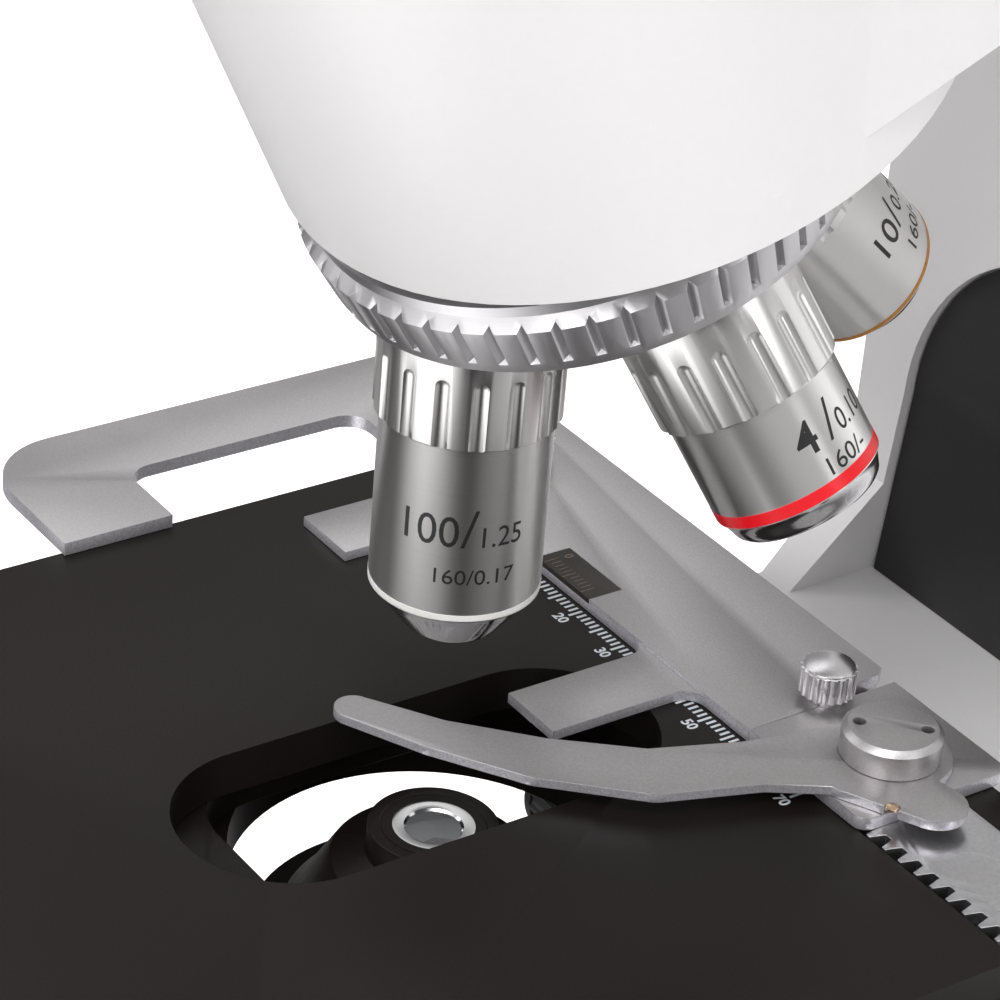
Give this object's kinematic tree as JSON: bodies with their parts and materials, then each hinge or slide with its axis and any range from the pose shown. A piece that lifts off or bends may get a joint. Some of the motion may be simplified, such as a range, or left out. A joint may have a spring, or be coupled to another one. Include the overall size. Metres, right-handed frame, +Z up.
{
  "type": "trinocular microscope",
  "caption": "Upright laboratory microscope with a tilted objective turret, a black mechanical cross stage with a specimen holder, a condenser, twin eyetubes and a vertical photo tube",
  "frame": {"origin": "on the bench plane, midway across the overall box, within a millimetre of the optical axis", "axes": "+Z up along the optical axis, the user at -Y, +X to the right of the user"},
  "size_m": [0.191, 0.2474, 0.4178],
  "materials": {
    "white_paint": "satin white stove enamel with a soft gloss",
    "black_anodised": "matte black anodised",
    "black_plastic": "fine grained black plastic",
    "rubber": "soft black rubber",
    "cast_grey": "satin cast grey",
    "barrel_steel": "satin chromed, turned",
    "blasted_plate": "bead blasted with bright edges",
    "bright_steel": "polished",
    "machined": "machined",
    "bronze": "sintered bronze",
    "glass": "coated lens glass",
    "diffuser": "frosted glass",
    "circuit": "green circuit board"
  },
  "bodies": {
    "stand": {"base_casting": "white_paint", "bottom_cover": "machined", "rubber_feet": "rubber", "lamp_collar": "black_anodised", "field_lens": "diffuser", "lamp_board": "circuit", "power_board": "circuit", "power_inlet": "black_plastic", "arm_casting": "white_paint", "arm_panel": "black_plastic", "focus_guides": "machined", "focus_bushes": "bronze", "turret_seat": "black_anodised", "turret_screw": "machined", "head_screw": "black_plastic"},
    "switch": {"power_switch": "black_plastic"},
    "dial": {"brightness_dial": "black_plastic"},
    "coarse_drive": {"coarse_shaft": "machined", "coarse_knobs": "black_plastic"},
    "fine_drive": {"fine_shaft": "machined", "fine_knobs": "black_plastic"},
    "tension": {"tension_ring": "cast_grey"},
    "stage": {"stage_carrier": "black_anodised", "focus_rack": "machined", "lower_plate": "black_anodised", "y_rack": "machined"},
    "cross_stage": {"upper_plate": "black_anodised", "stem_housing": "black_anodised"},
    "y_drive": {"y_knob": "black_plastic"},
    "x_drive": {"x_knob": "black_plastic"},
    "holder": {"x_slide": "machined", "holder_bar": "blasted_plate", "vernier_plate": "black_anodised", "pivot_plate": "blasted_plate", "thumbscrews": "bright_steel", "clip_cap": "bright_steel", "clip_spring": "bright_steel"},
    "finger": {"clip_finger": "bright_steel"},
    "condenser": {"condenser_carrier": "black_anodised", "condenser_body": "black_anodised", "condenser_lens": "glass"},
    "condenser_drive": {"condenser_knob": "black_plastic"},
    "iris": {"iris_ring": "black_anodised"},
    "filter": {"filter_holder": "black_anodised"},
    "turret": {"turret_disc": "black_anodised", "turret_ring": "cast_grey", "objective_4": "barrel_steel", "objective_10": "barrel_steel", "objective_40": "barrel_steel", "objective_100": "barrel_steel", "objective_lenses": "glass"},
    "head": {"head_body": "white_paint", "photo_tube": "white_paint"},
    "rod": {"splitter_rod": "bright_steel"},
    "cap": {"photo_cap": "black_plastic"},
    "right_eye": {"right_eye_arm": "white_paint", "right_eyepiece": "black_plastic"},
    "left_eye": {"left_eye_arm": "white_paint", "left_eyepiece": "black_plastic"},
    "diopter": {"diopter_ring": "black_plastic"}
  },
  "joints": [
    {"name": "power_switch", "type": "hinge", "parent": "stand", "child": "switch", "pos_m": [0.066, 0.078, 0.028], "axis": [0, 0, 1], "range_deg": [-18, 0]},
    {"name": "brightness", "type": "hinge", "parent": "stand", "child": "dial", "pos_m": [-0.072, 0.078, 0.028], "axis": [1, 0, 0], "range_deg": [0, 270]},
    {"name": "stage_lift", "type": "slide", "parent": "stand", "child": "stage", "axis": [0, 0, 1], "range_m": [-0.004, 0.015]},
    {"name": "coarse_focus", "type": "hinge", "parent": "stand", "child": "coarse_drive", "pos_m": [0, 0.096, 0.08], "axis": [1, 0, 0], "range_deg": [-144, 39]},
    {"name": "fine_focus", "type": "hinge", "parent": "stand", "child": "fine_drive", "pos_m": [0, 0.096, 0.08], "axis": [1, 0, 0], "continuous": true},
    {"name": "focus_tension", "type": "hinge", "parent": "stand", "child": "tension", "pos_m": [0.044, 0.096, 0.08], "axis": [1, 0, 0], "range_deg": [0, 60]},
    {"name": "stage_y", "type": "slide", "parent": "stage", "child": "cross_stage", "axis": [0, 1, 0], "range_m": [-0.022, 0.018]},
    {"name": "y_knob", "type": "hinge", "parent": "cross_stage", "child": "y_drive", "pos_m": [0.06, 0.036, 0.106], "axis": [0, 0, 1], "range_deg": [-253, 207]},
    {"name": "specimen_x", "type": "slide", "parent": "cross_stage", "child": "holder", "axis": [1, 0, 0], "range_m": [-0.008, 0.06]},
    {"name": "x_knob", "type": "hinge", "parent": "cross_stage", "child": "x_drive", "pos_m": [0.06, 0.036, 0.093], "axis": [0, 0, 1], "range_deg": [-689, 93]},
    {"name": "spring_finger", "type": "hinge", "parent": "holder", "child": "finger", "pos_m": [0.0298, 0.0511, 0.1525], "axis": [0, 0, 1], "range_deg": [0, 25], "stiffness_Nm_per_rad": 0.1, "springref_deg": -14.32},
    {"name": "condenser_lift", "type": "slide", "parent": "stage", "child": "condenser", "axis": [0, 0, 1], "range_m": [-0.006, 0.008]},
    {"name": "condenser_knob", "type": "hinge", "parent": "condenser", "child": "condenser_drive", "pos_m": [-0.037, 0.056, 0.104], "axis": [1, 0, 0], "range_deg": [-93, 70]},
    {"name": "iris", "type": "hinge", "parent": "condenser", "child": "iris", "pos_m": [0, 0, 0.107], "axis": [0, 0, 1], "range_deg": [-45, 45]},
    {"name": "filter_swing", "type": "hinge", "parent": "condenser", "child": "filter", "pos_m": [-0.0246, 0.0105, 0.094], "axis": [0, 0, 1], "range_deg": [-100, 0]},
    {"name": "turret_turn", "type": "hinge", "parent": "stand", "child": "turret", "pos_m": [0, 0, 0.26664], "axis": [0, 0.3947, -0.9188], "continuous": true},
    {"name": "head_turn", "type": "hinge", "parent": "stand", "child": "head", "pos_m": [0, 0, 0.308], "axis": [0, 0, 1], "continuous": true},
    {"name": "splitter", "type": "slide", "parent": "head", "child": "rod", "axis": [1, 0, 0], "range_m": [0, 0.012]},
    {"name": "photo_cap", "type": "slide", "parent": "head", "child": "cap", "axis": [0, 0, 1], "range_m": [0, 0.03]},
    {"name": "right_eyetube", "type": "hinge", "parent": "head", "child": "right_eye", "pos_m": [0, -0.036, 0.335], "axis": [0, -0.866, 0.5], "range_deg": [-23, 14]},
    {"name": "left_eyetube", "type": "hinge", "parent": "head", "child": "left_eye", "pos_m": [0, -0.036, 0.335], "axis": [0, -0.866, 0.5], "range_deg": [-14, 23]},
    {"name": "diopter", "type": "hinge", "parent": "left_eye", "child": "diopter", "pos_m": [-0.032, -0.02575, 0.35275], "axis": [0, -0.866, 0.5], "range_deg": [-120, 120]}
  ],
  "couplings": [
    {"joint": "coarse_focus", "follows": "stage_lift", "rad_per_m": -166.67},
    {"joint": "y_knob", "follows": "stage_y", "rad_per_m": 200},
    {"joint": "x_knob", "follows": "specimen_x", "rad_per_m": -200},
    {"joint": "condenser_knob", "follows": "condenser_lift", "rad_per_m": -200},
    {"joint": "left_eyetube", "follows": "right_eyetube", "ratio": -1}
  ]
}
